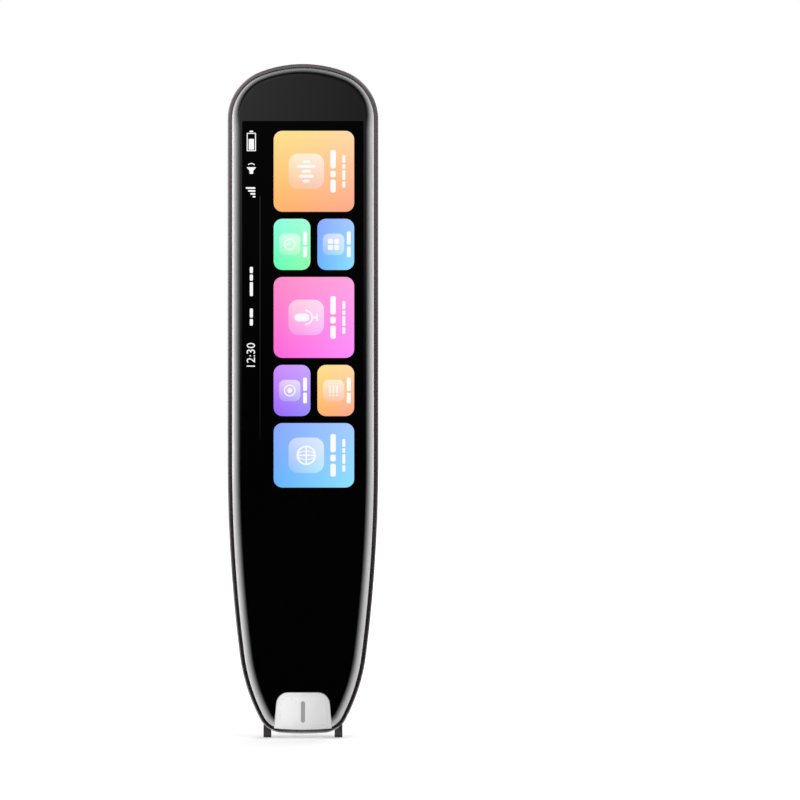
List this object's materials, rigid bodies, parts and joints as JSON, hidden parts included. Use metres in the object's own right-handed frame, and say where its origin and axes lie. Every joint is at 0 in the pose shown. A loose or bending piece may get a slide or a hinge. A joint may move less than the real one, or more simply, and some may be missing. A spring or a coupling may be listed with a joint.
{
  "type": "handheld translator",
  "caption": "Handheld scanning translator: slim metal body, full-length cover glass over a display, clear nose window, sprung scan foot, speaker plate on the back, side keys and crown key.",
  "frame": {"origin": "centre of the plane that the two tips of the scan foot stand on, midway through the body's width and depth", "axes": "+Z from the scan foot up to the crown, -Y out of the cover glass, +Y out of the back, +X to the side with the volume and function keys"},
  "size_m": [0.0365, 0.0138, 0.1637],
  "materials": {
    "shell_metal": "satin anodised brown-grey, fine grain",
    "plate_metal": "satin anodised, lighter",
    "cover_glass": "gloss, printed black behind",
    "display": "gloss panel",
    "clear_plastic": "clear, polished",
    "mark_grey": "satin",
    "black_plastic": "fine matt texture",
    "foot_plastic": "satin moulded",
    "mesh": "woven dust mesh",
    "foam": "closed-cell foam",
    "spring_steel": "drawn wire",
    "steel": "satin",
    "frame_metal": "die cast",
    "circuit_board": "solder mask",
    "chip": "moulded",
    "lamp": "clear over phosphor",
    "lens_glass": "coated",
    "battery_wrap": "wrapped pouch",
    "flex_film": "polyimide film",
    "lead_sheath": "soft sheath",
    "port_metal": "drawn shell"
  },
  "bodies": {
    "pen_body": {"rear_housing": "shell_metal", "mid_frame": "frame_metal", "cover_glass": "cover_glass", "glass_adhesive": "foam", "display_panel": "display", "display_flex": "flex_film", "viewing_window": "clear_plastic", "alignment_mark": "mark_grey", "sound_plate": "plate_metal", "speaker_grille": "plate_metal", "cover_disc": "plate_metal", "grille_mesh": "mesh", "speaker_gasket": "foam", "speaker_driver": "black_plastic", "scan_bezel": "plate_metal", "scan_hood": "black_plastic", "camera_window": "clear_plastic", "camera_module": "black_plastic", "camera_lens": "lens_glass", "camera_flex": "flex_film", "lamp_board": "circuit_board", "lamp_leds": "lamp", "foot_springs": "spring_steel", "scan_switch": "black_plastic", "power_switch": "steel", "rocker_pin": "steel", "key_bracket": "black_plastic", "volume_switches": "steel", "function_switch": "steel", "card_sleeve": "black_plastic", "card_reader": "steel", "usb_port": "port_metal", "main_board": "circuit_board", "processor_shield": "steel", "board_chips": "chip", "microphone": "steel", "antenna": "flex_film", "battery_cell": "battery_wrap", "battery_leads": "lead_sheath", "frame_screws": "steel", "board_screws": "steel"},
    "scan_fork": {"scan_foot": "foot_plastic", "switch_plunger": "mark_grey"},
    "power_button": {"power_key": "shell_metal"},
    "volume_key": {"volume_rocker": "shell_metal"},
    "function_button": {"function_key": "shell_metal"}
  },
  "joints": [
    {"name": "foot_slide", "type": "slide", "parent": "pen_body", "child": "scan_fork", "axis": [0, 0, 1], "range_m": [0, 0.0012], "stiffness_N_per_m": 600, "springref_m": -0.002, "deforming": ["foot_springs"]},
    {"name": "power_press", "type": "slide", "parent": "pen_body", "child": "power_button", "axis": [0, 0, -1], "range_m": [0, 0.0003], "stiffness_N_per_m": 1500, "springref_m": -0.0005},
    {"name": "volume_rock", "type": "hinge", "parent": "pen_body", "child": "volume_key", "pos_m": [0.01465, 0, 0.1358], "axis": [0, 1, 0], "range_deg": [-1.8, 1.8], "stiffness_Nm_per_rad": 0.12},
    {"name": "function_press", "type": "slide", "parent": "pen_body", "child": "function_button", "axis": [-1, 0, 0], "range_m": [0, 0.0003], "stiffness_N_per_m": 1500, "springref_m": -0.0005}
  ]
}
